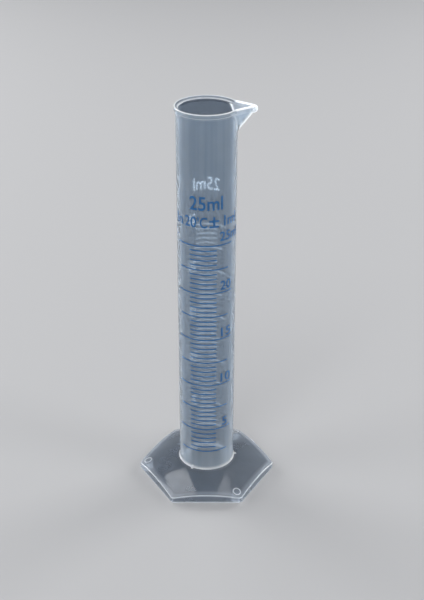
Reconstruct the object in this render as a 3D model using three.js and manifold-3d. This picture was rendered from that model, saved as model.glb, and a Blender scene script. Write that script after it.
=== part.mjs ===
// Graduated cylinder, 25 ml, on a hexagonal foot.
// Millimetres, +Z up. The origin is on the tube's axis, in the plane that the feet stand on.
// +X points along the pouring spout, and the printed scale faces -Y.
import * as THREE from "three";
import { mergeVertices } from "three/addons/utils/BufferGeometryUtils.js";
import Module from "manifold-3d";

const wasm = await Module();
wasm.setup();

// ---------------------------------------------------------------- driving dimensions
const HEIGHT = 146.8; // feet to rim
const TUBE_R_FOOT = 10.25; // outer radius where the tube leaves the base
const TUBE_R_TOP = 10.4; // outer radius just under the lip
const BORE_R_FOOT = 9.03; // bore radius at the floor
const BORE_R_TOP = 9.37; // bore radius under the mouth
const BARREL_BOTTOM_Z = 3.6; // underside of the barrel's floor, in the socket
const FLOOR_Z = 4.9; // inside floor of the barrel
const FLOOR_FILLET = 0.9; // between floor and bore

const LIP_R = 10.95; // widest radius of the rolled lip
const LIP_DROP = 1.8; // height of the lip, rim to the foot of its sloping underside
const MOUTH_DROP = 0.85; // depth of the flared mouth

const SPOUT_TIP_X = 16.95; // extreme of the spout's nose
const SPOUT_NOSE_R = 1.0; // plan radius of the nose
const SPOUT_HALF_ANGLE = 35; // where the spout's sides leave the lip, degrees
const SPOUT_WALL = 1.05;
const SPOUT_NOSE_DROP = 1.25; // the nose is a rounded bead, fullest this far under the rim plane
const SPOUT_NOSE_HALF = 1.45; // half the height of the bead
const SPOUT_KEEL_DROP = 9.1; // depth at which the keel meets the tube

const BASE_ACROSS_FLATS = 45.0;
const BASE_CORNER_R = 1.7; // rounding of the six corners in plan
const BASE_WALL = 1.2;
const BASE_DOME_Z = 7.47; // height of the dome if it ran on to the axis
const BASE_DOME_K = 0.00762; // fall of the dome per square millimetre of radius
const BASE_EDGE_R = 0.7; // rounding of the skirt's top edge
const SKIRT_Z = 0.3; // the skirt hangs this far above the standing plane
const SOCKET_CLEARANCE = 0.02; // weld line between barrel and base
const SOCKET_WALL = 1.15;
const SOCKET_LEDGE_R = 7.9; // opening in the ledge under the barrel
const SOCKET_LEDGE_Z = 2.45; // underside of the ledge

const FOOT_R = 1.65;
const FOOT_GAP = 0.12; // under the plate
const FOOT_CENTRE_R = 22.4; // from the axis, under alternate corners
const FOOT_ANGLES = [60, 180, 300];

const INK_GAP = 0.02; // the ink film stands this far off the wall
const INK_THICK = 0.08;
const LINE_WIDTH = 0.42;
const NUMERAL_HEIGHT = 3.5;
const NUMERAL_STROKE = 0.42;
const NUMERAL_WIDTH = 1.95;
const NUMERAL_PITCH = 2.45;

const STEP_DEG = 5; // facets of the tube; ink arcs use the same ones

// ---------------------------------------------------------------- materials
const polypropylene = (hex) =>
  new THREE.MeshStandardMaterial({
    color: hex,
    roughness: 0.28,
    metalness: 0,
    transparent: true,
    opacity: 0.55,
  });
const ink = () =>
  new THREE.MeshStandardMaterial({ color: 0x2a5f9e, roughness: 0.5, metalness: 0 });

const rad = (d) => (d * Math.PI) / 180;
const mix = (a, b, t) => a + (b - a) * t;
const clamp01 = (t) => Math.min(1, Math.max(0, t));

const model = new THREE.Group();
const add = (name, geometry, material) => {
  const mesh = new THREE.Mesh(geometry, material);
  mesh.name = name;
  model.add(mesh);
  return mesh;
};

// Joins several closed geometries into one.
function join(geometries) {
  let whole = null;
  for (const geometry of geometries) {
    const g = geometry.clone();
    g.deleteAttribute("normal");
    g.deleteAttribute("uv");
    const merged = mergeVertices(g, 1e-5);
    const solid = new wasm.Manifold(
      new wasm.Mesh({
        numProp: 3,
        vertProperties: new Float32Array(merged.attributes.position.array),
        triVerts: new Uint32Array(merged.index.array),
      }),
    );
    whole = whole ? whole.add(solid) : solid;
  }
  const mesh = whole.getMesh();
  const g = new THREE.BufferGeometry();
  g.setAttribute("position", new THREE.Float32BufferAttribute(mesh.vertProperties, 3));
  g.setIndex(Array.from(mesh.triVerts));
  g.computeVertexNormals();
  return g;
}

// A closed surface from a ring of sections: sections[i] is the closed loop at angle i.
// Every loop runs the same way round and has the same number of points.
function closedRing(sections) {
  const n = sections.length;
  const m = sections[0].length;
  const position = [];
  for (const loop of sections) for (const p of loop) position.push(p[0], p[1], p[2]);
  const index = [];
  for (let i = 0; i < n; i++) {
    const k = (i + 1) % n;
    for (let j = 0; j < m; j++) {
      const l = (j + 1) % m;
      const a = i * m + j,
        b = k * m + j,
        c = k * m + l,
        d = i * m + l;
      index.push(a, b, c, a, c, d);
    }
  }
  const g = new THREE.BufferGeometry();
  g.setAttribute("position", new THREE.Float32BufferAttribute(position, 3));
  g.setIndex(index);
  g.computeVertexNormals();
  return g;
}

// A closed surface whose sections run from one point on the axis to another.
function closedOnAxis(sections, first, last) {
  const n = sections.length;
  const m = sections[0].length;
  const position = [];
  for (const line of sections) for (const p of line) position.push(p[0], p[1], p[2]);
  const s = n * m,
    e = n * m + 1;
  position.push(...first, ...last);
  const index = [];
  for (let i = 0; i < n; i++) {
    const k = (i + 1) % n;
    index.push(s, k * m, i * m);
    for (let j = 0; j < m - 1; j++) {
      const a = i * m + j,
        b = k * m + j,
        c = k * m + j + 1,
        d = i * m + j + 1;
      index.push(a, b, c, a, c, d);
    }
    index.push(e, i * m + m - 1, k * m + m - 1);
  }
  const g = new THREE.BufferGeometry();
  g.setAttribute("position", new THREE.Float32BufferAttribute(position, 3));
  g.setIndex(index);
  g.computeVertexNormals();
  return g;
}

// Radius of the tube's regular polygon along a ray: extra rays land on its flats.
function onFacet(r, deg) {
  const half = STEP_DEG / 2;
  const local = ((((deg % STEP_DEG) + STEP_DEG) % STEP_DEG) - half + 360) % 360;
  const off = local > 180 ? local - 360 : local;
  return (r * Math.cos(rad(half))) / Math.cos(rad(off));
}

// ---------------------------------------------------------------- tube radii
const tubeR = (z) =>
  mix(TUBE_R_FOOT, TUBE_R_TOP, clamp01((z - 6.65) / (HEIGHT - LIP_DROP - 6.65)));
const boreR = (z) => mix(BORE_R_FOOT, BORE_R_TOP, clamp01((z - FLOOR_Z) / (HEIGHT - FLOOR_Z)));

// Distance from the axis to the V spout's side face, along a ray at one height.
// The faces run from the rim, where they leave the lip, down to the keel.
function spoutR(deg, z, inset) {
  const a = Math.abs(deg > 180 ? deg - 360 : deg);
  if (a > 70) return 0;
  const lip = new THREE.Vector2(
    LIP_R * Math.cos(rad(SPOUT_HALF_ANGLE)),
    LIP_R * Math.sin(rad(SPOUT_HALF_ANGLE)),
  );
  const nose = new THREE.Vector2(SPOUT_TIP_X - SPOUT_NOSE_R, 0);
  // plan line tangent to the nose's circle, from the point on the lip
  const to = nose.clone().sub(lip);
  const d = to.length();
  const turn = Math.asin(SPOUT_NOSE_R / d);
  const dir = to.clone().normalize().rotateAround(new THREE.Vector2(), turn);
  const normal = new THREE.Vector2(-dir.y, dir.x); // outward, towards +Y
  // the plane leans in towards the keel: its offset falls with depth
  const topOffset = normal.dot(lip);
  const keelX = TUBE_R_TOP - 0.05;
  const lean = (topOffset - normal.x * keelX) / SPOUT_KEEL_DROP;
  const depth = HEIGHT - z;
  const tilt = Math.hypot(1, lean);
  const offset = topOffset - lean * depth - inset * tilt;
  const along = normal.x * Math.cos(rad(a)) + normal.y * Math.sin(rad(a));
  let r = along > 1e-6 ? offset / along : 1e6;
  // rounded nose between two tangent lines, drawn back above and below its fullest part
  const noseR = Math.max(SPOUT_NOSE_R - inset * 0.6, 0.35);
  const back =
    inset > 0
      ? depth * 0.42
      : Math.max(0, 1 - depth / SPOUT_NOSE_DROP) ** 2 * 0.7 + Math.max(0, depth - SPOUT_NOSE_DROP) * 0.55;
  const cx = SPOUT_TIP_X - inset - back - noseR;
  const tangent = Math.atan2(noseR * normal.y, cx + noseR * normal.x);
  if (rad(a) < tangent)
    r = Math.min(r, cx * Math.cos(rad(a)) + Math.sqrt(Math.max(0, noseR * noseR - (cx * Math.sin(rad(a))) ** 2)));
  else if (along > 1e-6) r = Math.min(r, (normal.x * cx + noseR) / along);
  // the bead stands out in front of the keel
  const t = (depth - SPOUT_NOSE_DROP) / SPOUT_NOSE_HALF;
  if (inset === 0 && t > -1 && t < 1) {
    const rho = SPOUT_NOSE_R * Math.sqrt(1 - t * t);
    const centre = SPOUT_TIP_X - SPOUT_NOSE_R;
    const under = rho * rho - (centre * Math.sin(rad(a))) ** 2;
    if (under > 0) r = Math.max(r, centre * Math.cos(rad(a)) + Math.sqrt(under));
  }
  return r;
}

// Outer and inner radius of the barrel's wall, spout included.
function outerR(deg, z, lipR) {
  return Math.max(onFacet(lipR, deg), spoutR(deg, z, 0));
}
function innerR(deg, z, mouthR) {
  return Math.max(onFacet(mouthR, deg), Math.min(spoutR(deg, z, SPOUT_WALL), SPOUT_TIP_X - SPOUT_WALL));
}

// Rays: every facet edge of the tube, and closer ones across the spout.
const barrelAngles = [];
for (let d = 0; d < 360; d += STEP_DEG) barrelAngles.push(d);
for (const d of [1, 2, 3, 4, 6.5, 8, 12.5, 17.5, 22.5, 27.5, 32.5, 37.5, 42.5])
  barrelAngles.push(d, 360 - d);
barrelAngles.sort((a, b) => a - b);

// ---------------------------------------------------------------- barrel
{
  const H = HEIGHT;
  // outside, from the foot up to the rim: [z, radius of the round part]
  const outside = [
    [BARREL_BOTTOM_Z, TUBE_R_FOOT - 0.35],
    [BARREL_BOTTOM_Z + 0.35, TUBE_R_FOOT],
    [6.65, TUBE_R_FOOT],
    [H - 9.6, tubeR(H - 9.6)],
    [H - 8.4, tubeR(H - 8.4)],
    [H - 7, tubeR(H - 7)],
    [H - 5.4, tubeR(H - 5.4)],
    [H - 3.8, tubeR(H - 3.8)],
    [H - 2.4, tubeR(H - 2.4)],
    [H - LIP_DROP, TUBE_R_TOP],
    [H - 1.3, LIP_R - 0.05],
    [H - 0.75, LIP_R],
    [H - 0.25, LIP_R - 0.03],
    [H, LIP_R - 0.2],
  ];
  // inside, from the rim down to the floor
  const inside = [
    [H, LIP_R - 0.55],
    [H - 0.35, BORE_R_TOP + 0.6],
    [H - MOUTH_DROP, BORE_R_TOP],
    [H - 2.0, boreR(H - 2.0)],
    [H - 3.4, boreR(H - 3.4)],
    [H - 5.0, boreR(H - 5.0)],
    [H - 6.4, boreR(H - 6.4)],
    [H - 7.6, boreR(H - 7.6)],
    [H - 8.8, boreR(H - 8.8)],
    [FLOOR_Z + FLOOR_FILLET, BORE_R_FOOT],
    [FLOOR_Z + FLOOR_FILLET * 0.3, BORE_R_FOOT - FLOOR_FILLET * 0.3],
    [FLOOR_Z, BORE_R_FOOT - FLOOR_FILLET],
  ];
  const sections = barrelAngles.map((deg) => {
    const c = Math.cos(rad(deg)),
      s = Math.sin(rad(deg));
    const line = [];
    for (const [z, r] of outside) {
      const q = z > H - 9.7 ? outerR(deg, z, r) : onFacet(r, deg);
      line.push([q * c, q * s, z]);
    }
    for (const [z, r] of inside) {
      const q = z > H - 9.0 ? Math.min(innerR(deg, z, r), outerR(deg, z, TUBE_R_TOP) - 0.45) : onFacet(r, deg);
      line.push([q * c, q * s, z]);
    }
    return line;
  });
  add(
    "barrel",
    closedOnAxis(sections, [0, 0, BARREL_BOTTOM_Z], [0, 0, FLOOR_Z]),
    polypropylene(0xb9c8d6),
  );
}

// ---------------------------------------------------------------- hexagonal base
const domeZ = (r) => BASE_DOME_Z - BASE_DOME_K * r * r;

// Distance to the rounded hexagon along a ray; corners at 0, 60, 120 ... degrees.
function hexR(deg, inset) {
  const a = ((deg % 60) + 60) % 60;
  const t = a > 30 ? 60 - a : a; // angle from the nearest corner
  const apothem = BASE_ACROSS_FLATS / 2 - inset;
  const cornerR = Math.max(BASE_CORNER_R - inset, 0.2);
  const c = (apothem - cornerR) / Math.cos(rad(30)); // centre of the corner's circle
  const flat = apothem / Math.cos(rad(30 - t));
  const tangent = Math.atan2(cornerR * 0.5, c + cornerR * Math.cos(rad(30)));
  if (rad(t) >= tangent) return flat;
  return c * Math.cos(rad(t)) + Math.sqrt(Math.max(0, cornerR * cornerR - (c * Math.sin(rad(t))) ** 2));
}

const baseAngles = [];
for (let d = 0; d < 360; d += STEP_DEG) baseAngles.push(d);
for (let c = 0; c < 360; c += 60) for (const d of [-3, -1.5, 1.5, 3]) baseAngles.push((c + d + 360) % 360);
baseAngles.sort((a, b) => a - b);

{
  const socketR = TUBE_R_FOOT + SOCKET_CLEARANCE;
  const sections = baseAngles.map((deg) => {
    const c = Math.cos(rad(deg)),
      s = Math.sin(rad(deg));
    const R = hexR(deg, 0);
    const Ri = hexR(deg, BASE_WALL);
    const edge = BASE_EDGE_R;
    const loop = [];
    const put = (r, z) => loop.push([r * c, r * s, z]);
    const seat = onFacet(socketR, deg);
    // up the socket, over the dome, down the skirt, and back underneath
    put(seat, BARREL_BOTTOM_Z - SOCKET_CLEARANCE);
    put(seat, domeZ(socketR));
    for (const t of [0.35, 0.7]) {
      const r = mix(seat, R - edge, t);
      put(r, domeZ(r));
    }
    put(R - edge, domeZ(R - edge));
    put(R - edge * 0.29, domeZ(R) - edge * 0.22);
    put(R, domeZ(R) - edge * 0.85);
    put(R, SKIRT_Z + 0.2);
    put(R - 0.25, SKIRT_Z);
    put(Ri + 0.25, SKIRT_Z);
    put(Ri, SKIRT_Z + 0.2);
    put(Ri, domeZ(Ri) - BASE_WALL - 0.35);
    put(Ri - 0.4, domeZ(Ri - 0.4) - BASE_WALL);
    const hub = onFacet(socketR + SOCKET_WALL, deg);
    for (const t of [0.5]) {
      const r = mix(Ri - 0.4, hub + 0.4, t);
      put(r, domeZ(r) - BASE_WALL);
    }
    put(hub + 0.4, domeZ(hub + 0.4) - BASE_WALL);
    put(hub, domeZ(hub) - BASE_WALL - 0.4);
    put(hub, SOCKET_LEDGE_Z);
    put(onFacet(SOCKET_LEDGE_R, deg), SOCKET_LEDGE_Z);
    put(onFacet(SOCKET_LEDGE_R, deg), BARREL_BOTTOM_Z - SOCKET_CLEARANCE);
    return loop.reverse();
  });
  add("hex_base", closedRing(sections), polypropylene(0xaebbc8));
}

// ---------------------------------------------------------------- support feet
// Round studs under the plate, standing a little below the skirt.
FOOT_ANGLES.forEach((deg, i) => {
  const top = 3; // provisional: the top face is then laid along the underside of the dome
  const profile = [
    [0, 0],
    [FOOT_R - 0.2, 0],
    [FOOT_R, 0.2],
    [FOOT_R, top - 0.1],
    [FOOT_R - 0.1, top],
    [FOOT_R * 0.5, top],
    [0, top],
  ].map(([x, y]) => new THREE.Vector2(x, y));
  const g = new THREE.LatheGeometry(profile, 24);
  g.rotateX(Math.PI / 2); // the profile's height becomes Z
  const p = g.attributes.position;
  for (let v = 0; v < p.count; v++) {
    const z = p.getZ(v);
    if (z < top - 0.2) continue;
    const r = Math.hypot(p.getX(v) + FOOT_CENTRE_R, p.getY(v));
    p.setZ(v, domeZ(r) - BASE_WALL - FOOT_GAP + (z - top));
  }
  const mesh = add("support_foot_" + (i + 1), g, polypropylene(0xdfe6ec));
  mesh.position.set(FOOT_CENTRE_R * Math.cos(rad(deg)), FOOT_CENTRE_R * Math.sin(rad(deg)), 0);
  mesh.rotation.z = rad(deg);
});

// ---------------------------------------------------------------- printed scale
// Height of a mark: the bore widens upwards, so the marks close up a little.
const markZ = (ml) => 5.18 + 3.96 * ml - 0.0065 * ml * ml;

// An arc of ink round the tube; 0 degrees faces -Y, positive towards +X.
function inkArc(fromDeg, toDeg, z) {
  const r = tubeR(z) + INK_GAP;
  const steps = Math.round((toDeg - fromDeg) / STEP_DEG);
  const outline = [];
  const at = (radius, deg) =>
    new THREE.Vector2(radius * Math.sin(rad(deg)), -radius * Math.cos(rad(deg)));
  for (let i = 0; i <= steps; i++) outline.push(at(r + INK_THICK, fromDeg + i * STEP_DEG));
  for (let i = steps; i >= 0; i--) outline.push(at(r, fromDeg + i * STEP_DEG));
  const g = new THREE.ExtrudeGeometry(new THREE.Shape(outline), {
    depth: LINE_WIDTH,
    bevelEnabled: false,
    steps: 1,
  });
  g.translate(0, 0, z - LINE_WIDTH / 2);
  return g;
}

for (let half = 5; half <= 50; half++) {
  const ml = half / 2;
  const label = Number.isInteger(ml) ? String(ml).padStart(2, "0") : String(Math.floor(ml)).padStart(2, "0") + "_5";
  let from = -35,
    to = 20; // single marks
  if (half % 10 === 0) {
    from = -65;
    to = 55; // numbered marks
  } else if (half % 5 === 0) {
    from = -60;
    to = 45; // halfway marks
  }
  add("mark_" + label + "ml", inkArc(from, to, markZ(ml)), ink());
}

// ---------------------------------------------------------------- numerals
// Plain stroke numerals in a box NUMERAL_WIDTH wide and NUMERAL_HEIGHT high:
// the centre line of each is thickened into an outline, extruded, and bent round the tube.
const arcPoints = (cx, cy, rx, ry, from, to, n) => {
  const out = [];
  for (let i = 0; i <= n; i++) {
    const t = rad(mix(from, to, i / n));
    out.push([cx + rx * Math.cos(t), cy + ry * Math.sin(t)]);
  }
  return out;
};
const W = NUMERAL_WIDTH - NUMERAL_STROKE,
  T = NUMERAL_HEIGHT - NUMERAL_STROKE;
const strokes = {
  1: [
    [
      [-W * 0.34, T * 0.74],
      [W * 0.0, T * 0.85],
      [W * 0.14, T * 0.98],
    ],
    [
      [W * 0.14, T],
      [W * 0.14, 0],
    ],
  ],
  2: [
    [
      ...arcPoints(0, T * 0.7, W / 2, T * 0.3, 165, -8, 9),
      [W * 0.38, T * 0.5],
      [W * 0.1, T * 0.33],
      [-W * 0.3, T * 0.13],
      [-W * 0.42, 0.02],
    ],
    [
      [-W / 2, 0],
      [W / 2, 0],
    ],
  ],
  5: [
    [
      [W * 0.42, T],
      [-W * 0.3, T],
      [-W * 0.44, T * 0.46],
    ],
    arcPoints(0, T * 0.32, W / 2, T * 0.32, 146, -155, 12),
  ],
};

function thicken(line, width) {
  const left = [],
    right = [];
  for (let i = 0; i < line.length; i++) {
    const p = new THREE.Vector2(...line[i]);
    const a = i > 0 ? p.clone().sub(new THREE.Vector2(...line[i - 1])).normalize() : null;
    const b = i < line.length - 1 ? new THREE.Vector2(...line[i + 1]).sub(p).normalize() : null;
    const d = (a && b ? a.clone().add(b) : a || b).normalize();
    const n = new THREE.Vector2(-d.y, d.x);
    const cos = a && b ? Math.max(0.6, Math.abs(n.dot(new THREE.Vector2(-a.y, a.x)))) : 1;
    const w = width / 2 / cos;
    left.push(p.clone().addScaledVector(n, w));
    right.push(p.clone().addScaledVector(n, -w));
  }
  return new THREE.Shape([...left, ...right.reverse()]);
}

function numeral(digit, centreDeg, baseZ) {
  const solid = (shape) =>
    new THREE.ExtrudeGeometry(shape, { depth: INK_THICK, bevelEnabled: false, steps: 1 });
  let g;
  if (digit === 0) {
    const ring = (grow, from, to) =>
      arcPoints(0, T / 2, W / 2 + grow, T / 2 + grow, from, to, 19).map((p) => new THREE.Vector2(...p));
    const shape = new THREE.Shape(ring(NUMERAL_STROKE / 2, 0, 342));
    shape.holes.push(new THREE.Path(ring(-NUMERAL_STROKE / 2, 360, 18)));
    g = solid(shape);
  } else g = join(strokes[digit].map((line) => solid(thicken(line, NUMERAL_STROKE))));
  const p = g.attributes.position;
  for (let i = 0; i < p.count; i++) {
    const z = baseZ + NUMERAL_STROKE / 2 + p.getY(i);
    const r = tubeR(z) + INK_GAP + 0.06 + p.getZ(i); // clears the flats across its width
    const t = rad(centreDeg) + p.getX(i) / TUBE_R_TOP;
    p.setXYZ(i, r * Math.sin(t), -r * Math.cos(t), z);
  }
  g.computeVertexNormals();
  return g;
}

const pitchDeg = (NUMERAL_PITCH / TUBE_R_TOP) * (180 / Math.PI);
for (const [ml, digits] of [
  [5, [5]],
  [10, [1, 0]],
  [15, [1, 5]],
  [20, [2, 0]],
  [25, [2, 5]],
]) {
  const first = 36; // centre of the left digit, degrees from -Y towards +X
  digits.forEach((d, i) => {
    const place = digits.length === 1 ? first + pitchDeg : first + i * pitchDeg;
    const name = "numeral_" + ml + (digits.length === 1 ? "" : i === 0 ? "_tens" : "_units");
    add(name, numeral(d, place, markZ(ml) + 1.0), ink());
  });
}

export default model;
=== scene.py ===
import math

import bmesh
import bpy
import numpy as np
from mathutils import Matrix, Vector


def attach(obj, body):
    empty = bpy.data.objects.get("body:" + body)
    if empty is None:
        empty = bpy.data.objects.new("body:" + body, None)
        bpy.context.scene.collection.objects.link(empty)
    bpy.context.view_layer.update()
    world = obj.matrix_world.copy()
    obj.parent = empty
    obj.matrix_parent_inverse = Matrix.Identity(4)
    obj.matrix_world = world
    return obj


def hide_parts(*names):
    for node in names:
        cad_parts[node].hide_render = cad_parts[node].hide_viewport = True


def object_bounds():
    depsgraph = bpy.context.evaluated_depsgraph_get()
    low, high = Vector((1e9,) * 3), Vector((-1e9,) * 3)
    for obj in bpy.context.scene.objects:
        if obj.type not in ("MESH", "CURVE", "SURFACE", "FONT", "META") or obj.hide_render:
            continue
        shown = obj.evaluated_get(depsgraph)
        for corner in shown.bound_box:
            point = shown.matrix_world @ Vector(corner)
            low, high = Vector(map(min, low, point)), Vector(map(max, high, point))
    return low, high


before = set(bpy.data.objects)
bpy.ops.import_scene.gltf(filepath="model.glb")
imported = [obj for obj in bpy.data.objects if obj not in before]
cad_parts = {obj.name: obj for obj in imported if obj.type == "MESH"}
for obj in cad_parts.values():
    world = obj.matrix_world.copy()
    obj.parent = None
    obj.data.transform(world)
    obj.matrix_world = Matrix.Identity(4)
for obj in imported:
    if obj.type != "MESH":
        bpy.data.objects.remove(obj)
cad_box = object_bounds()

MM = 0.001
scene = bpy.context.scene
scene.view_settings.view_transform = "Standard"

# ------------------------------------------------------------------ dimensions, millimetres
lo, hi = cad_box
H = float(hi[2]) / MM  # rim
TUBE_FOOT, TUBE_TOP = 10.25, 10.40
BORE_FOOT, BORE_TOP = 9.03, 9.37
BOTTOM_Z, FLOOR_Z = 3.6, 4.9
JOINT_Z = 6.65
LIP_R = 10.95
TIP_X, NOSE_R = 16.95, 1.0
SPOUT_HALF = 35.0
SPOUT_WALL = 1.05
KEEL_DROP, NOSE_DROP = 9.1, 1.25
FLATS, CORNER_R, BASE_WALL = 45.0, 1.75, 1.2
DOME_Z, DOME_K = 7.47, 0.00762
SKIRT_Z = 0.3
FOOT_R, FOOT_CENTRE = 1.65, 22.4


def clamp01(t):
    return np.clip(t, 0.0, 1.0)


def smax(a, b, k):
    h = clamp01(0.5 + 0.5 * (a - b) / k)
    return b * (1 - h) + a * h + k * h * (1 - h)


def smin(a, b, k):
    return -smax(-a, -b, k)


def tube_r(z):
    return TUBE_FOOT + (TUBE_TOP - TUBE_FOOT) * clamp01((np.asarray(z, float) - JOINT_Z) / (H - 2.0 - JOINT_Z))


def bore_r(z):
    return BORE_FOOT + (BORE_TOP - BORE_FOOT) * clamp01((np.asarray(z, float) - FLOOR_Z) / (H - FLOOR_Z))


def dome(r):
    return DOME_Z - DOME_K * np.asarray(r, float) ** 2


# the spout's side faces: a plan line from the lip to the nose, leaning in towards the keel
_lip = np.array([LIP_R * math.cos(math.radians(SPOUT_HALF)), LIP_R * math.sin(math.radians(SPOUT_HALF))])
_nose = np.array([TIP_X - NOSE_R, 0.0])
_to = _nose - _lip
_turn = math.asin(NOSE_R / np.linalg.norm(_to))
_dir = _to / np.linalg.norm(_to)
_dir = np.array([
    _dir[0] * math.cos(_turn) - _dir[1] * math.sin(_turn),
    _dir[0] * math.sin(_turn) + _dir[1] * math.cos(_turn),
])
NX, NY = -_dir[1], _dir[0]
TOP_OFFSET = NX * _lip[0] + NY * _lip[1]
LEAN = (TOP_OFFSET - NX * (TUBE_TOP - 0.05)) / KEEL_DROP


def spout_r(deg, z, inset, k_keel=0.5):
    """Distance from the axis to the V spout's face along a ray, for arrays of angle and height."""
    a = np.radians(np.where(deg > 180, deg - 360, deg))
    depth = np.maximum(H - z, 0.0)
    offset = TOP_OFFSET - LEAN * depth - inset * math.hypot(1, LEAN)
    left = NX * np.cos(a) + NY * np.sin(a)
    right = NX * np.cos(a) - NY * np.sin(a)
    r_left = np.where(left > 0.02, offset / np.maximum(left, 0.02), 60.0)
    r_right = np.where(right > 0.02, offset / np.maximum(right, 0.02), 60.0)
    plane = smin(r_left, r_right, k_keel)
    nose = max(NOSE_R - inset * 0.6, 0.35)
    cx = TIP_X - inset - nose
    b = np.abs(a)
    tangent = np.arctan2(nose * NY, cx + nose * NX)
    round_ = cx * np.cos(b) + np.sqrt(np.maximum(0, nose**2 - (cx * np.sin(b)) ** 2))
    flat = (NX * cx + nose) / np.maximum(NX * np.cos(b) + NY * np.sin(b), 0.02)
    r = smin(plane, np.where(b < tangent, round_, flat), 0.25)
    if inset == 0.0:
        # the nose: a rounded bead, fullest a little under the rim, in front of the keel
        t = np.where(depth < NOSE_DROP, (NOSE_DROP - depth) / 1.35, (depth - NOSE_DROP) / 1.30)
        rho = NOSE_R * np.sqrt(np.maximum(0.0, 1 - t**2))
        out = TIP_X - NOSE_R
        s2 = rho**2 - (out * np.sin(b)) ** 2
        bead = out * np.cos(b) + np.sqrt(np.maximum(0, s2))
        r = np.where(s2 > 0, smax(r, bead, 0.12), r)
    return np.where(np.abs(a) < math.radians(75), r, 0.0)


# ------------------------------------------------------------------ mesh helpers
def put_attribute(mesh, name, values):
    attr = mesh.attributes.new(name, "FLOAT", "POINT")
    attr.data.foreach_set("value", np.asarray(values, dtype=np.float32))


def make_object(name, verts_mm, faces, smooth_angle=40.0, **per_vertex):
    mesh = bpy.data.meshes.new(name)
    mesh.from_pydata([tuple(v) for v in (np.asarray(verts_mm, float) * MM)], [], faces)
    mesh.update()
    for key, values in per_vertex.items():
        put_attribute(mesh, key, values)
    obj = bpy.data.objects.new(name, mesh)
    scene.collection.objects.link(obj)
    shade(obj, smooth_angle)
    return obj


def shade(obj, angle):
    mesh = obj.data
    # every face outwards: the volume inside is positive
    bm = bmesh.new()
    bm.from_mesh(mesh)
    if bm.calc_volume(signed=True) < 0:
        bmesh.ops.reverse_faces(bm, faces=bm.faces)
        bm.to_mesh(mesh)
    bm.free()
    mesh.polygons.foreach_set("use_smooth", [True] * len(mesh.polygons))
    mesh.set_sharp_from_angle(angle=math.radians(angle))


def lathe_grid(angles, rows, start=None, end=None):
    """rows: arrays (n_angles,) of r and z for each row. Closed round the axis, and at its poles or into a loop."""
    n, m = len(angles), len(rows)
    c, s = np.cos(np.radians(angles)), np.sin(np.radians(angles))
    verts = np.zeros((m, n, 3))
    for j, (r, z) in enumerate(rows):
        verts[j, :, 0] = r * c
        verts[j, :, 1] = r * s
        verts[j, :, 2] = z
    verts = verts.reshape(-1, 3)
    faces = []
    last = m if start is None else m - 1
    for j in range(last):
        a, b = j * n, ((j + 1) % m) * n
        for i in range(n):
            k = (i + 1) % n
            faces.append((a + i, a + k, b + k, b + i))
    if start is not None:
        verts = np.vstack([verts, [start, end]])
        ps, pe = m * n, m * n + 1
        for i in range(n):
            k = (i + 1) % n
            faces.append((ps, k, i))
            faces.append((pe, (m - 1) * n + i, (m - 1) * n + k))
    return verts, faces


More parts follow.
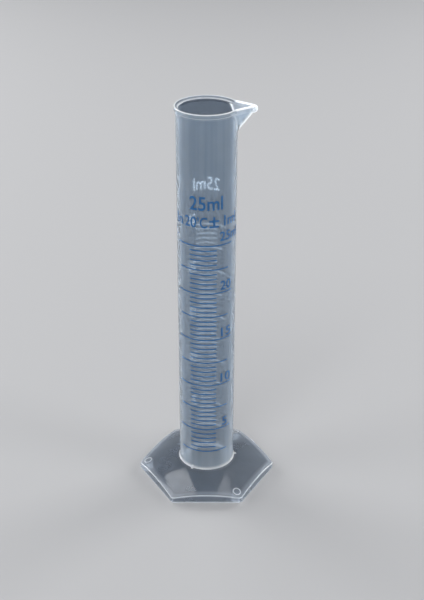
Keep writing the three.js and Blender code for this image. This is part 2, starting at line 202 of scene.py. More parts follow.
# ------------------------------------------------------------------ barrel
def build_barrel():
    ang = set(np.arange(0, 360, 2.0))
    ang |= {float(a % 360) for a in np.arange(-52, 52.01, 1.0)}
    ang |= {float(a % 360) for a in np.arange(-6, 6.01, 0.3)}
    for c in (120, 240):
        ang |= {float(a) for a in np.arange(c - 7, c + 7.01, 0.5)}
    angles = np.array(sorted(round(a, 3) for a in ang))
    angles = np.unique(angles)
    one = np.ones_like(angles)
    off = lambda c: np.minimum(np.abs(angles - c), 360 - np.abs(angles - c))
    lug = sum(np.exp(-((off(c) / 2.6) ** 4)) for c in (0, 120, 240))

    rows, haze, lit = [], [], []

    def put(r, z, h=0.0, g=0.0):
        rows.append((r * one, z * one))
        haze.append(h * one)
        lit.append(g * one)

    # underside and foot, inside the socket
    put(4.0, BOTTOM_Z, 0.2)
    put(8.8, BOTTOM_Z, 0.3)
    for t in np.linspace(0, 90, 5):
        put(TUBE_FOOT - 0.5 + 0.5 * math.sin(math.radians(t)), BOTTOM_Z + 0.5 - 0.5 * math.cos(math.radians(t)), 0.6)
    put(TUBE_FOOT, 5.2, 0.3)
    put(TUBE_FOOT, 6.66, 0.5)
    # weld bead, with its three small lugs
    bead = [(6.685, 0.0), (6.69, 0.18), (6.72, 0.30), (6.80, 0.36), (6.90, 0.34), (7.02, 0.24), (7.14, 0.11), (7.26, 0.03), (7.36, 0.0)]
    for i, (z, g) in enumerate(bead):
        grow = g + lug * g * 2.3
        rise = lug * max(0.0, z - 6.70) * 0.55
        rows.append((tube_r(z) + grow, z + rise))
        haze.append(one * (0.85 if 0 < i < 8 else 0.6))
        # painted glow along the middle rows of the bead
        lit.append(one * (0.3 if 1 < i < 5 else 0.0))
    for z, h in ((8.2, 0.30), (9.4, 0.28), (12, 0.23), (16, 0.17), (21, 0.11), (28, 0.06)):
        put(tube_r(z), z, h)
    for z, h in ((36, 0.02), (48, 0.01), (60, 0.0), (72, 0.0), (84, 0.0), (94, 0.0), (104, 0.0), (114, 0.0), (124, 0.0), (131, 0.0)):
        put(tube_r(z), z, h)
    # outside, up past the keel to the lip
    z_rows = list(np.arange(H - 10.6, H - 2.25, 0.28))
    for z in z_rows:
        sp = spout_r(angles, z * one, 0.0)
        near = clamp01((sp - tube_r(z)) / 0.6)
        rows.append((smax(tube_r(z) * one, sp, 0.7), z * one))
        keel = np.exp(-((off(0) / (4.0)) ** 2)) * near
        haze.append(np.maximum(0.16 * near, 0.95 * keel))
        # painted glow along the keel
        lit.append(keel)
    lip = [(2.1, 0.0), (1.95, 0.02), (1.80, 0.10), (1.66, 0.24), (1.52, 0.40), (1.38, 0.50), (1.20, 0.54), (0.95, 0.56), (0.70, 0.57), (0.48, 0.57), (0.32, 0.55), (0.20, 0.51), (0.10, 0.45), (0.03, 0.38), (0.0, 0.30)]
    for d, g in lip:
        z = H - d
        sp = spout_r(angles, z * one, 0.0)
        e = 0.45 + 0.5 * np.exp(-((off(0) / 6.0) ** 2))
        sp = sp - (e - np.sqrt(np.maximum(0.0, e * e - (e - np.minimum(d, e)) ** 2)))
        near = clamp01((sp - TUBE_TOP - g) / 0.4)
        rows.append((smax((TUBE_TOP + g) * one, sp, 0.45), z * one))
        ring = 0.9 if d < 0.25 else (0.75 if 1.4 < d < 1.75 else 0.12)
        edge = 1.0 if d < 0.6 else 0.3
        keel = np.exp(-((off(0) / 4.0) ** 2))
        haze.append(np.maximum(ring * (1 - near) + edge * near, 0.95 * keel * near))
        # painted glow on the rim's top rows and along the spout's top edge and keel
        lit.append(np.maximum((0.25 if d < 0.25 else 0.0) * (1 - near) + (0.8 if d < 0.45 else 0.0) * near, 0.8 * keel * near))
    # over the rim and down inside
    mouth = [(0.0, 1.22), (0.03, 1.14), (0.10, 1.06), (0.20, 0.97), (0.34, 0.82), (0.50, 0.60), (0.64, 0.38), (0.76, 0.18), (0.88, 0.05), (1.02, 0.0)]
    for d, g in mouth:
        z = H - d
        e = 0.4
        sp = spout_r(angles, z * one, SPOUT_WALL, 0.4)
        sp = sp + (e - math.sqrt(max(0.0, e * e - (e - min(d, e)) ** 2)) if d < e else 0.0)
        r = smax((BORE_TOP + g) * one, sp, 0.3)
        near = clamp01((sp - BORE_TOP - g) / 0.4)
        rows.append((r, z * one))
        ring = 0.8 if (d < 0.12 or 0.6 < d < 0.95) else 0.15
        haze.append(ring * (1 - near) + (1.0 if d < 0.5 else 0.25) * near)
        # painted glow on the mouth's top edge, strongest on the spout
        lit.append((0.25 if d < 0.12 else 0.0) * (1 - near) + (0.8 if d < 0.35 else 0.0) * near)
    for z in np.arange(H - 1.3, H - 10.4, -0.28):
        sp = spout_r(angles, z * one, SPOUT_WALL, 0.4)
        near = clamp01((sp - bore_r(z)) / 0.3)
        notch = np.exp(-(((sp - bore_r(z)) / 0.35) ** 2)) * (off(0) < 55)
        rows.append((smax(bore_r(z) * one, sp, 0.25), z * one))
        haze.append(np.maximum(0.16 * near, 0.9 * notch))
        # painted glow along the inside line where the spout meets the bore
        lit.append(0.9 * notch)
    for z in (131, 124, 114, 104, 92, 80, 68, 56, 44, 32, 20, 12, 8.5, 6.9):
        put(bore_r(z), z, 0.0 if z > 14 else 0.12)
    fr = 0.9
    # painted glow round the inside floor fillet, stronger on its upper rows
    for t in np.linspace(0, 90, 6):
        put(BORE_FOOT - fr + fr * math.cos(math.radians(t)), FLOOR_Z + fr - fr * math.sin(math.radians(t)), 0.85, 0.6 if t < 40 else 0.2)
    put(6.5, FLOOR_Z + 0.02, 0.05)
    put(3.0, FLOOR_Z + 0.10, 0.0)
    verts, faces = lathe_grid(angles, rows, (0, 0, BOTTOM_Z), (0, 0, FLOOR_Z + 0.12))
    h = np.concatenate([np.concatenate(haze), [0.2, 0.0]])
    g = np.concatenate([np.concatenate(lit), [0.0, 0.0]])
    # painted shade: the half of the tube towards +Y is marked for darker colours, fully inside and at 0.45 on the
    # outer wall
    away = np.hypot(verts[:, 0], verts[:, 1])
    t = clamp01((verts[:, 1] / np.maximum(away, 1e-6) + 0.05) / 0.6)
    t = t * t * (3 - 2 * t) * np.where(away > bore_r(verts[:, 2]) + 0.5, 0.45, 1.0)
    return make_object("barrel_moulding", verts, faces, 50, haze=h, lit=g, tone=t)


# ------------------------------------------------------------------ base
def hex_r(deg, inset):
    t = np.mod(deg, 60.0)
    t = np.radians(np.where(t > 30, 60 - t, t))
    apothem = FLATS / 2 - inset
    cr = max(CORNER_R - inset, 0.25)
    c = (apothem - cr) / math.cos(math.radians(30))
    tangent = math.atan2(cr * 0.5, c + cr * math.cos(math.radians(30)))
    flat = apothem / np.cos(math.radians(30) - t)
    rnd = c * np.cos(t) + np.sqrt(np.maximum(0, cr**2 - (c * np.sin(t)) ** 2))
    return np.where(t >= tangent, flat, rnd)


def build_base():
    ang = set(np.arange(0, 360, 1.5))
    for c in range(0, 360, 60):
        ang |= {float(a % 360) for a in np.arange(c - 4.5, c + 4.51, 0.3)}
    angles = np.unique(np.array(sorted(round(a, 3) for a in ang)))
    one = np.ones_like(angles)
    R, Ri = hex_r(angles, 0.0), hex_r(angles, BASE_WALL)
    seat = TUBE_FOOT + 0.02
    hub = seat + 1.15
    rows, haze, lit = [], [], []

    def put(r, z, h=0.0, g=0.0):
        rows.append((r * one, z * one))
        haze.append(h * one)
        lit.append(g * one)

    # inner side first, so that the surface faces out: up inside the hollow, down through the socket
    put(7.9, BOTTOM_Z - 0.02, 0.4)
    put(7.9, 2.45, 0.4)
    put(hub - 0.15, 2.45, 0.5)
    put(hub, 2.6, 0.5)
    put(hub, dome(hub) - BASE_WALL - 0.5, 0.3)
    put(hub + 0.15, dome(hub) - BASE_WALL - 0.15, 0.2)
    put(hub + 0.5, dome(hub + 0.5) - BASE_WALL, 0.05)
    for t in np.linspace(0.12, 1, 7):
        r = (hub + 0.5) * (1 - t) + (Ri - 0.55) * t
        put(r, dome(r) - BASE_WALL, 0.0)
    put(Ri - 0.25, dome(Ri - 0.25) - BASE_WALL - 0.04, 0.3)
    put(Ri - 0.06, dome(Ri - 0.06) - BASE_WALL - 0.16, 0.5)
    put(Ri, dome(Ri) - BASE_WALL - 0.42, 0.35)
    put(Ri, SKIRT_Z + 0.35, 0.35)
    # painted glow along the skirt's bottom edge rows
    put(Ri + 0.06, SKIRT_Z + 0.12, 0.9, 0.3)
    put(Ri + 0.25, SKIRT_Z, 1.0, 0.3)
    put(R - 0.30, SKIRT_Z, 1.0, 0.3)
    put(R - 0.10, SKIRT_Z + 0.08, 1.0, 0.5)
    put(R, SKIRT_Z + 0.26, 0.7, 0.5)
    put(R, SKIRT_Z + 0.58, 0.0)
    e = 0.5
    ze = dome(R - e)
    zt = dome(R)
    put(R, zt - e * 1.15, 0.0)
    # rounded top edge: whiter at the middle of the rounding, with a painted glow there
    for t in np.linspace(0, 90, 6):
        s_, c_ = math.sin(math.radians(t)), math.cos(math.radians(t))
        put(R - e + e * c_, (zt - e) * (1 - s_) + ze * s_, 0.10 + 0.6 * math.sin(math.radians(min(180, t * 2))) ** 4, 0.22 * math.sin(math.radians(min(180, t * 2))) ** 4)
    for t in np.linspace(0.06, 1, 11):
        r = (R - e) * (1 - t) + (seat + 0.05) * t
        put(r, dome(r), 0.0 if 0.1 < t < 0.93 else 0.2)
    put(seat + 0.012, dome(seat) - 0.02, 0.7)
    put(seat, dome(seat) - 0.08, 0.7)
    put(seat, BOTTOM_Z + 0.3, 0.3)
    verts, faces = lathe_grid(angles, [(r, z) for r, z in rows][::-1])
    h, g = np.concatenate(haze[::-1]), np.concatenate(lit[::-1])
    return make_object("base_moulding", verts, faces, 50, haze=h, lit=g)


def revolve_foot(name, deg):
    angles = np.arange(0, 360, 7.5)
    cx, cy = FOOT_CENTRE * math.cos(math.radians(deg)), FOOT_CENTRE * math.sin(math.radians(deg))
    rows = []
    prof = [(0.9, 0.0), (FOOT_R - 0.35, 0.0), (FOOT_R - 0.14, 0.05), (FOOT_R - 0.03, 0.18), (FOOT_R, 0.4), (FOOT_R, 1.0)]
    c, s = np.cos(np.radians(angles)), np.sin(np.radians(angles))
    verts = []

    def top(x, y, drop):
        return dome(np.hypot(x, y)) - BASE_WALL - 0.06 - drop

    for r, z in prof:
        for i in range(len(angles)):
            verts.append((cx + r * c[i], cy + r * s[i], z))
    for r, drop in ((FOOT_R, 0.14), (FOOT_R - 0.08, 0.02), (FOOT_R - 0.25, 0.0), (0.8, 0.0)):
        for i in range(len(angles)):
            x, y = cx + r * c[i], cy + r * s[i]
            verts.append((x, y, float(top(x, y, drop))))
    n, m = len(angles), len(prof) + 4
    faces = []
    for j in range(m - 1):
        for i in range(n):
            k = (i + 1) % n
            faces.append((j * n + i, j * n + k, (j + 1) * n + k, (j + 1) * n + i))
    verts += [(cx, cy, 0.0), (cx, cy, float(top(cx, cy, 0.0)))]
    for i in range(n):
        k = (i + 1) % n
        faces.append((m * n, k, i))
        faces.append((m * n + 1, (m - 1) * n + i, (m - 1) * n + k))
    # painted glow on the foot's rounded bottom edge, side and top edge
    ring = {2: 0.4, 3: 0.9, 4: 0.7, 5: 0.3, 6: 0.2, 7: 0.3}
    lit = [ring.get(j, 0.0) for j in range(m) for _ in angles] + [0.0, 0.0]
    return make_object(name, np.array(verts), faces, 40, haze=np.full(len(verts), 0.5), lit=lit)


def build_stud_rings():
    """Slight raised rings on the plate over the three feet, where the moulding is thick."""
    section = [(1.14, -1.0), (1.14, 0.006), (1.22, 0.022), (1.46, 0.022), (1.54, 0.006), (1.54, -1.0)]
    steps, m = 40, len(section)
    verts, faces, lit = [], [], []
    for deg in (60, 180, 300):
        cx, cy = 22.7 * math.cos(math.radians(deg)), 22.7 * math.sin(math.radians(deg))
        first = len(verts)
        for i in range(steps):
            t = 2 * math.pi * i / steps
            for r, up in section:
                x, y = cx + r * math.cos(t), cy + r * math.sin(t)
                verts.append((x, y, float(dome(math.hypot(x, y))) + up))
                # painted glow on the raised top of each ring
                lit.append(0.12 if up > 0 else 0.0)
        for i in range(steps):
            k = (i + 1) % steps
            for j in range(m):
                l = (j + 1) % m
                faces.append((first + i * m + j, first + i * m + l, first + k * m + l, first + k * m + j))
    return make_object("stud_rings", np.array(verts), faces, 40, haze=np.full(len(verts), 0.6), lit=lit)


# ------------------------------------------------------------------ scale: arcs and lettering on the wall
def mark_z(ml):
    return 5.18 + 3.96 * ml - 0.0065 * ml * ml


def arc_strips(specs, gap, rise, width, back=False, round_top=False, through=False):
    """specs: (from_deg, to_deg, z). Each becomes one closed rounded strip round the tube."""
    verts, faces = [], []
    # section across the strip: height offset, radial offset
    if round_top:
        sect = [(-0.5, 0.0), (-0.46, 0.45), (-0.3, 0.85), (0.0, 1.0), (0.3, 0.85), (0.46, 0.45), (0.5, 0.0)]
    else:
        sect = [(-0.5, 0.0), (-0.49, 0.75), (-0.42, 1.0), (0.42, 1.0), (0.49, 0.75), (0.5, 0.0)]
    if through:
        sect = [(-0.5, -2.0), (-0.5, -1.0)] + sect[1:-1] + [(0.5, -1.0), (0.5, -2.0)]
    m = len(sect)
    for a0, a1, z in specs:
        n = max(6, int(abs(a1 - a0) / 1.25))
        degs = list(np.linspace(a0, a1, n))
        # blunt rounded ends
        ends = math.degrees(width * 0.35 / TUBE_TOP)
        degs = [a0 - ends] + degs + [a1 + ends]
        base = len(verts)
        for i, d in enumerate(degs):
            scale = 0.45 if i in (0, len(degs) - 1) else 1.0
            for u, v in sect:
                zz = z + u * width * scale
                r = float(tube_r(zz)) + gap + v * rise * (0.6 if scale < 1 else 1.0)
                if v < 0:
                    r = float(bore_r(zz)) + (0.04 if v > -1.5 else -0.02)
                t = math.radians(d)
                verts.append((r * math.sin(t), (r if back else -r) * math.cos(t), zz))
        cnt = len(degs)
        for i in range(cnt - 1):
            for j in range(m):
                k = (j + 1) % m
                f = (base + i * m + j, base + (i + 1) * m + j, base + (i + 1) * m + k, base + i * m + k)
                faces.append(f if back else f[::-1])
        cap0 = tuple(base + j for j in range(m))
        cap1 = tuple(base + (cnt - 1) * m + j for j in range(m))
        faces.append(cap0 if back else cap0[::-1])
        faces.append(cap1[::-1] if back else cap1)
    return np.array(verts), faces


def flat_text(body, cap_mm):
    """Lettering as a flat filled mesh in millimetres at font size 1, starting at x = 0; cap_mm is not used."""
    curve = bpy.data.curves.new("lettering", "FONT")
    curve.body = body
    curve.size = 1.0
    curve.resolution_u = 5
    curve.fill_mode = "FRONT"
    curve.offset = 0.009
    obj = bpy.data.objects.new("lettering", curve)
    scene.collection.objects.link(obj)
    deps = bpy.context.evaluated_depsgraph_get()
    deps.update()
    mesh = bpy.data.meshes.new_from_object(obj.evaluated_get(deps))
    bpy.data.objects.remove(obj)
    bpy.data.curves.remove(curve)
    return mesh


CAP = None


def cap_height():
    global CAP
    if CAP is None:
        mesh = flat_text("5", 1)
        ys = [v.co.y for v in mesh.vertices]
        CAP = max(ys) - min(ys)
        bpy.data.meshes.remove(mesh)
    return CAP


def wrapped_text(bm_all, body, cap_mm, z0, from_deg, to_deg, gap, rise, back=False, fit=True, through=False):
    """Adds raised lettering between two angles. z0 is the baseline."""
    mesh = flat_text(body, cap_mm)
    bm = bmesh.new()
    bm.from_mesh(mesh)
    bpy.data.meshes.remove(mesh)
    bmesh.ops.remove_doubles(bm, verts=bm.verts, dist=1e-5)
    k = cap_mm / cap_height()
    xs = [v.co.x for v in bm.verts]
    x0, x1 = min(xs), max(xs)
    span = math.radians(abs(to_deg - from_deg)) * TUBE_TOP
    kx = span / (x1 - x0) if fit else k
    for v in bm.verts:
        v.co.x = (v.co.x - x0) * kx
        v.co.y = v.co.y * k
        v.co.z = 0.0
    # cuts along the width, so that it bends round the tube
    width = (x1 - x0) * kx
    x = 0.35
    while x < width:
        geom = bm.verts[:] + bm.edges[:] + bm.faces[:]
        bmesh.ops.bisect_plane(bm, geom=geom, plane_co=(x, 0, 0), plane_no=(1, 0, 0), dist=1e-5)
        x += 0.35
    bmesh.ops.recalc_face_normals(bm, faces=bm.faces)
    if bm.faces and sum(f.normal.z * f.calc_area() for f in bm.faces) < 0:
        bmesh.ops.reverse_faces(bm, faces=bm.faces)
    ret = bmesh.ops.extrude_face_region(bm, geom=bm.faces[:])
    tops, mids = {g for g in ret["geom"] if isinstance(g, bmesh.types.BMVert)}, set()
    if through:
        mids = tops
        middle = [g for g in ret["geom"] if isinstance(g, bmesh.types.BMFace)]
        ret = bmesh.ops.extrude_face_region(bm, geom=middle)
        tops = {g for g in ret["geom"] if isinstance(g, bmesh.types.BMVert)}
        left = [f for f in bm.faces if all(v in mids for v in f.verts)]
        bmesh.ops.delete(bm, geom=left, context="FACES_ONLY")
    for v in bm.verts:
        t = math.radians(from_deg) + (v.co.x / TUBE_TOP) * (1 if to_deg > from_deg else -1)
        z = z0 + v.co.y
        r = float(tube_r(z)) + gap + (rise if v in tops else 0.0)
        if through and v not in tops:
            r = float(bore_r(z)) + (0.04 if v in mids else -0.02)
        v.co = Vector((r * math.sin(t), (r if back else -r) * math.cos(t), z))
    bmesh.ops.recalc_face_normals(bm, faces=bm.faces)
    tmp = bpy.data.meshes.new("tmp")
    bm.to_mesh(tmp)
    bm.free()
    bm_all.from_mesh(tmp)
    bpy.data.meshes.remove(tmp)


def text_object(name, items, haze=None):
    bm = bmesh.new()
    for item in items:
        wrapped_text(bm, *item[:-1], **item[-1])
    mesh = bpy.data.meshes.new(name)
    bm.transform(Matrix.Scale(MM, 4))
    bm.to_mesh(mesh)
    bm.free()
    if haze is not None:
        put_attribute(mesh, "haze", np.full(len(mesh.vertices), haze))
        # painted glow on the faces that reach the bore
        put_attribute(mesh, "lit", inner_side([v.co / MM for v in mesh.vertices]))
    obj = bpy.data.objects.new(name, mesh)
    scene.collection.objects.link(obj)
    shade(obj, 35)
    return obj


def inner_side(points):
    """1 where a strip or letter reaches the bore, 0 on the outside of the tube."""
    p = np.array([tuple(q) for q in points])
    return (np.hypot(p[:, 0], p[:, 1]) < bore_r(p[:, 2]) + 0.01).astype(float)


# ------------------------------------------------------------------ materials
def new_material(name):
    m = bpy.data.materials.new(name)
    m.use_nodes = True
    nt = m.node_tree
    nt.nodes.clear()
    out = nt.nodes.new("ShaderNodeOutputMaterial")
    bsdf = nt.nodes.new("ShaderNodeBsdfPrincipled")
    nt.links.new(bsdf.outputs["BSDF"], out.inputs["Surface"])
    return m, nt, bsdf


def node(nt, kind, **inputs):
    n = nt.nodes.new(kind)
    for key, value in inputs.items():
        if key in n.inputs:
            n.inputs[key].default_value = value
    return n


def ramp(nt, source, stops):
    r = nt.nodes.new("ShaderNodeValToRGB")
    els = r.color_ramp.elements
    while len(els) < len(stops):
        els.new(0.5)
    for e, (p, c) in zip(els, stops):
        e.position = p
        e.color = c if len(c) == 4 else (*c, 1.0)
    nt.links.new(source, r.inputs["Fac"])
    return r


def to_range(nt, source, lo_, hi_, new_lo, new_hi):
    n = nt.nodes.new("ShaderNodeMapRange")
    n.inputs["From Min"].default_value = lo_
    n.inputs["From Max"].default_value = hi_
    n.inputs["To Min"].default_value = new_lo
    n.inputs["To Max"].default_value = new_hi
    nt.links.new(source, n.inputs["Value"])
    return n.outputs["Result"]


def mixed(nt, fac, a, b):
    n = nt.nodes.new("ShaderNodeMix")
    n.data_type = "RGBA"
    nt.links.new(fac, n.inputs[0])
    for sock, val in ((n.inputs[6], a), (n.inputs[7], b)):
        if isinstance(val, tuple):
            sock.default_value = (*val, 1.0)
        else:
            nt.links.new(val, sock)
    return n.outputs[2]


def math_node(nt, op, a, b):
    n = nt.nodes.new("ShaderNodeMath")
    n.operation = op
    n.use_clamp = True
    for sock, val in ((n.inputs[0], a), (n.inputs[1], b)):
        if isinstance(val, (int, float)):
            sock.default_value = val
        else:
            nt.links.new(val, sock)
    return n.outputs[0]


def polypropylene(name, body, body2, edge, trans, trans_edge, rough, streaks, bump, back_shade_colours=None, glow=1.0, lit=0.0):
    """Moulded translucent polypropylene: milky body, whiter where it is thick or edged, faint flow lines; optionally
    a painted darker back half and a painted glow (emission) on marked rows.
    """
    m, nt, bsdf = new_material(name)
    coord = nt.nodes.new("ShaderNodeTexCoord")
    haze = nt.nodes.new("ShaderNodeAttribute")
    haze.attribute_name = "haze"
    # flow lines: noise stretched along the moulding direction
    stretch = nt.nodes.new("ShaderNodeMapping")
    stretch.inputs["Scale"].default_value = streaks
    nt.links.new(coord.outputs["Object"], stretch.inputs["Vector"])
    flow = nt.nodes.new("ShaderNodeTexNoise")
    flow.inputs["Scale"].default_value = 1.0
    flow.inputs["Detail"].default_value = 3.0
    nt.links.new(stretch.outputs["Vector"], flow.inputs["Vector"])
    cloud = nt.nodes.new("ShaderNodeTexNoise")
    cloud.inputs["Scale"].default_value = 90.0
    cloud.inputs["Detail"].default_value = 2.0
    nt.links.new(coord.outputs["Object"], cloud.inputs["Vector"])
    grain = nt.nodes.new("ShaderNodeTexNoise")
    grain.inputs["Scale"].default_value = 2600.0
    grain.inputs["Detail"].default_value = 2.0
    nt.links.new(coord.outputs["Object"], grain.inputs["Vector"])
    blend = math_node(nt, "ADD", to_range(nt, flow.outputs["Fac"], 0.3, 0.7, 0.0, 0.7), to_range(nt, cloud.outputs["Fac"], 0.3, 0.7, 0.0, 0.3))
    base = mixed(nt, blend, body, body2)
    if back_shade_colours is not None:
        # painted shade: the marked back half is mixed towards the darker back colours
        tone = nt.nodes.new("ShaderNodeAttribute")
        tone.attribute_name = "tone"
        base = mixed(nt, tone.outputs["Fac"], base, mixed(nt, blend, *back_shade_colours))
    colour = mixed(nt, haze.outputs["Fac"], base, edge)
    nt.links.new(colour, bsdf.inputs["Base Color"])
    # how much light goes through: less at edges, and varying a little along the flow lines
    through = to_range(nt, haze.outputs["Fac"], 0.0, 1.0, trans, trans_edge)
    through = math_node(nt, "SUBTRACT", through, to_range(nt, blend, 0.0, 1.0, 0.0, 0.05))
    nt.links.new(through, bsdf.inputs["Transmission Weight"])
    r = to_range(nt, blend, 0.0, 1.0, rough - 0.03, rough + 0.04)
    r = math_node(nt, "ADD", r, to_range(nt, grain.outputs["Fac"], 0.3, 0.7, 0.0, 0.03))
    nt.links.new(r, bsdf.inputs["Roughness"])
    b = nt.nodes.new("ShaderNodeBump")
    b.inputs["Strength"].default_value = bump
    b.inputs["Distance"].default_value = 0.0002
    nt.links.new(flow.outputs["Fac"], b.inputs["Height"])
    nt.links.new(b.outputs["Normal"], bsdf.inputs["Normal"])
    bsdf.inputs["IOR"].default_value = 1.49
    bsdf.inputs["Subsurface Weight"].default_value = glow
    if lit:
        # painted glow: emission from the per-vertex glow attribute, standing in for light led in through the
        # thickness from the far side
        painted_glow_node = nt.nodes.new("ShaderNodeAttribute")
        painted_glow_node.attribute_name = "lit"
        bsdf.inputs["Emission Color"].default_value = (0.90, 0.95, 1.0, 1.0)
        nt.links.new(to_range(nt, painted_glow_node.outputs["Fac"], 0.0, 1.0, 0.0, lit), bsdf.inputs["Emission Strength"])
    bsdf.inputs["Subsurface Radius"].default_value = (1.0, 1.0, 1.0)
    bsdf.inputs["Subsurface Scale"].default_value = 0.0016
    return m


def printed_ink(name, dark, light):
    m, nt, bsdf = new_material(name)
    coord = nt.nodes.new("ShaderNodeTexCoord")
    patch = nt.nodes.new("ShaderNodeTexNoise")
    patch.inputs["Scale"].default_value = 700.0
    patch.inputs["Detail"].default_value = 3.0
    nt.links.new(coord.outputs["Object"], patch.inputs["Vector"])
    speck = nt.nodes.new("ShaderNodeTexNoise")
    speck.inputs["Scale"].default_value = 5200.0
    nt.links.new(coord.outputs["Object"], speck.inputs["Vector"])
    mix = math_node(nt, "ADD", to_range(nt, patch.outputs["Fac"], 0.35, 0.7, 0.0, 0.7), to_range(nt, speck.outputs["Fac"], 0.45, 0.75, 0.0, 0.4))
    nt.links.new(mixed(nt, mix, dark, light), bsdf.inputs["Base Color"])
    nt.links.new(to_range(nt, mix, 0.0, 1.0, 0.38, 0.55), bsdf.inputs["Roughness"])
    b = nt.nodes.new("ShaderNodeBump")
    b.inputs["Strength"].default_value = 0.15
    b.inputs["Distance"].default_value = 0.00003
    nt.links.new(speck.outputs["Fac"], b.inputs["Height"])
    nt.links.new(b.outputs["Normal"], bsdf.inputs["Normal"])
    return m


# each material's last argument sets the strength of its painted glow (emission)
barrel_mat = polypropylene("barrel_polypropylene", (0.62, 0.735, 0.85), (0.70, 0.795, 0.89), (0.93, 0.95, 0.98), 0.86, 0.14, 0.09, (420, 420, 9), 0.04, back_shade_colours=((0.15, 0.19, 0.25), (0.17, 0.21, 0.27)), lit=0.5)
base_mat = polypropylene("base_polypropylene", (0.46, 0.52, 0.60), (0.53, 0.59, 0.66), (0.93, 0.95, 0.98), 0.87, 0.14, 0.05, (60, 60, 60), 0.1, lit=0.45)
stud_mat = polypropylene("stud_polypropylene", (0.80, 0.84, 0.88), (0.88, 0.90, 0.93), (0.95, 0.97, 0.99), 0.60, 0.20, 0.10, (60, 60, 60), 0.1, lit=1.1)
# the moulded scale is clear plastic: its near-opaque white colour is a painted highlight
relief_mat = polypropylene("relief_polypropylene", (0.93, 0.95, 0.97), (0.96, 0.97, 0.98), (0.97, 0.98, 1.0), 0.05, 0.03, 0.30, (420, 420, 9), 0.1, glow=0.0, lit=0.75)
ink_mat = printed_ink("blue_ink", (0.006, 0.105, 0.31), (0.015, 0.155, 0.40))

# ------------------------------------------------------------------ pieces
barrel = build_barrel()
barrel.data.materials.append(barrel_mat)
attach(barrel, "root")
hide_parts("barrel")

base = build_base()
base.data.materials.append(base_mat)
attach(base, "root")
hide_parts("hex_base")

for i, deg in enumerate((60, 180, 300)):
    foot = revolve_foot("foot_stud_%d" % (i + 1), deg)
    foot.data.materials.append(stud_mat)
    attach(foot, "root")
    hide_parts("support_foot_%d" % (i + 1))

rings = build_stud_rings()
rings.data.materials.append(stud_mat)
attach(rings, "root")

specs = []
for half in range(5, 51):
    ml = half / 2
    if half % 10 == 0:
        specs.append((-63.0, 55.5, mark_z(ml)))
    elif half % 5 == 0:
        specs.append((-58.0, 45.5, mark_z(ml)))
    else:
        specs.append((-33.5, 19.5, mark_z(ml)))
verts, faces = arc_strips(specs, 0.004, 0.045, 0.42)
marks = make_object("printed_marks", verts, faces, 35)
marks.data.materials.append(ink_mat)
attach(marks, "root")
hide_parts(*[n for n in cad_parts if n.startswith("mark_")])

G, T = 0.004, 0.045
items = []
for ml, text, a0, a1 in ((5, "5", 34, 46.5), (10, "10", 30, 55), (15, "15", 30, 55), (20, "20", 28, 54), (25, "25", 26, 51)):
    items.append((text, 3.5, mark_z(ml) + (1.5 if ml == 25 else 1.0), a0, a1, G, T, {}))
numerals = text_object("printed_numerals", items)
numerals.data.materials.append(ink_mat)
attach(numerals, "root")
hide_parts(*[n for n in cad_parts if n.startswith("numeral_")])

captions = text_object("printed_captions", [
    ("25ml", 5.0, 113.35, -33, 32, G, T, {}),
    ("ml", 3.5, mark_z(25) + 1.5, 53, 78, G, T, {}),
    ("In", 3.7, 107.0, -70, -51, G, T, {}),
    ("20", 3.9, 107.0, -44, -19.5, G, T, {}),
    ("\u00b0", 3.7, 107.0, -18, -14.5, G, T, {}),
    ("C", 3.9, 107.0, -12.5, 1.5, G, T, {}),
    ("\u00b1", 4.6, 107.0, 5.5, 24, G, T, {}),
    ("1", 3.8, 107.2, 35, 38.5, G, T, {"fit": False}),
    ("ml", 3.7, 107.2, 43.5, 70, G, T, {}),
])
captions.data.materials.append(ink_mat)
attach(captions, "root")

# the clear scale moulded on the back: read from behind, so it runs the other way
specs = []
for half in range(5, 51):
    ml = half / 2
    if half % 10 == 0:
        specs.append((-41.0, 50.0, mark_z(ml)))
    elif half % 5 == 0:
        specs.append((-31.0, 38.0, mark_z(ml)))
    else:
        specs.append((-24.0, 24.0, mark_z(ml)))
verts, faces = arc_strips(specs, 0.004, 0.16, 0.42, back=True, round_top=True, through=True)
# painted glow on the ridges' faces inside the bore
ridges = make_object("moulded_marks", verts, faces, 50, haze=np.full(len(verts), 0.5), lit=0.7 * inner_side(verts))
ridges.data.materials.append(relief_mat)
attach(ridges, "root")

B = {"back": True, "through": True}
items = [("25ml", 4.8, 113.2, 31, -31, 0.004, 0.15, B)]
for ml, text in ((5, "5"), (10, "10"), (15, "15"), (20, "20"), (25, "25")):
    a0 = -26.5 if len(text) == 2 else -30.0
    a1 = -47.0 if len(text) == 2 else -40.0
    items.append((text, 3.4, mark_z(ml) + 0.9, a0, a1, 0.004, 0.15, B))
relief = text_object("moulded_numerals", items, 0.6)
relief.data.materials.append(relief_mat)
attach(relief, "root")

# ------------------------------------------------------------------ camera
cam_data = bpy.data.cameras.new("camera")
cam_data.sensor_fit = "AUTO"
cam_data.sensor_width = 36.0
cam_data.lens = 1115.2 / 600 * 36.0
cam_data.clip_start = 0.01
cam = bpy.data.objects.new("camera", cam_data)
scene.collection.objects.link(cam)
view = Vector((0.00228, 0.88337, -0.46868)).normalized()
right = Vector((1.0, -0.00145, 0.00214)).normalized()
up = right.cross(view).normalized()
right = view.cross(up).normalized()
rot = Matrix((right, up, -view)).transposed()
cam.matrix_world = Matrix.Translation(Vector((1.039, -354.30, 262.03)) * MM) @ rot.to_4x4()
scene.camera = cam

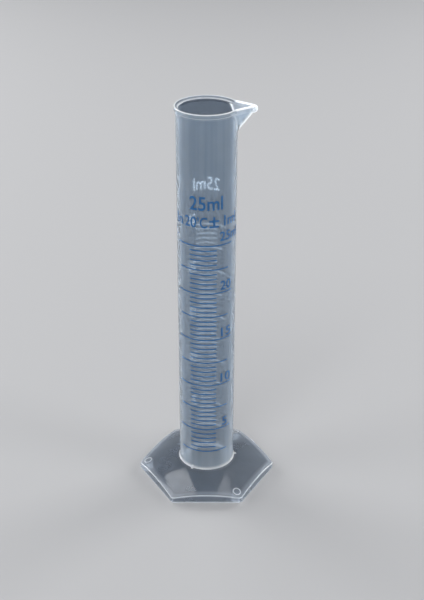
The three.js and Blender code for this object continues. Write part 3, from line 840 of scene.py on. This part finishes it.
# ------------------------------------------------------------------ floor and light
floor_mesh = bpy.data.meshes.new("floor")
s = 3.0
floor_mesh.from_pydata([(-s, -s, 0), (s, -s, 0), (s, s, 0), (-s, s, 0)], [], [(0, 1, 2, 3)])
floor = bpy.data.objects.new("floor", floor_mesh)
scene.collection.objects.link(floor)
fm, fnt, fb = new_material("floor_paper")
fb.inputs["Base Color"].default_value = (0.58, 0.58, 0.585, 1)
fb.inputs["Roughness"].default_value = 0.75
fb.inputs["Specular IOR Level"].default_value = 0.2
floor_mesh.materials.append(fm)

world = bpy.data.worlds.new("studio")
world.use_nodes = True
world.node_tree.nodes["Background"].inputs[0].default_value = (0.86, 0.89, 0.95, 1)
world.node_tree.nodes["Background"].inputs[1].default_value = 0.30
scene.world = world


def softbox(name, place, aim, size, power, shape="RECTANGLE", along=None):
    light = bpy.data.lights.new(name, "AREA")
    light.shape = shape
    light.size, light.size_y = size
    light.energy = power
    obj = bpy.data.objects.new(name, light)
    scene.collection.objects.link(obj)
    obj.location = place
    back = (Vector(place) - Vector(aim)).normalized()
    side = Vector(along or (0, 0, 1)).cross(back).normalized()
    obj.rotation_euler = Matrix((side, back.cross(side), back)).transposed().to_euler()
    return obj


softbox("rim_left", (-0.90, 0.70, 0.42), (0, 0, 0.08), (0.6, 0.5), 6.5)
softbox("rim_right", (0.90, 0.65, 0.40), (0, 0, 0.08), (0.5, 0.5), 5.5)
softbox("side_left", (-0.97, -0.22, 0.32), (0, 0, 0.08), (0.4, 0.5), 2.4)
softbox("side_right", (0.95, -0.35, 0.32), (0, 0, 0.08), (0.35, 0.5), 2.8)
softbox("front_top", (-0.25, -0.8, 1.1), (0, 0, 0.08), (0.6, 0.5), 4.5)
softbox("over_left", (-0.264, 0.47, 0.935), (0, 0, 0), (0.30, 0.42), 1.0, along=(0, -0.875, 0.485))
softbox("over_right", (0.198, 0.251, 1.076), (0, 0, 0), (0.142, 0.72), 0.38, "ELLIPSE", along=(0, -0.892, 0.452))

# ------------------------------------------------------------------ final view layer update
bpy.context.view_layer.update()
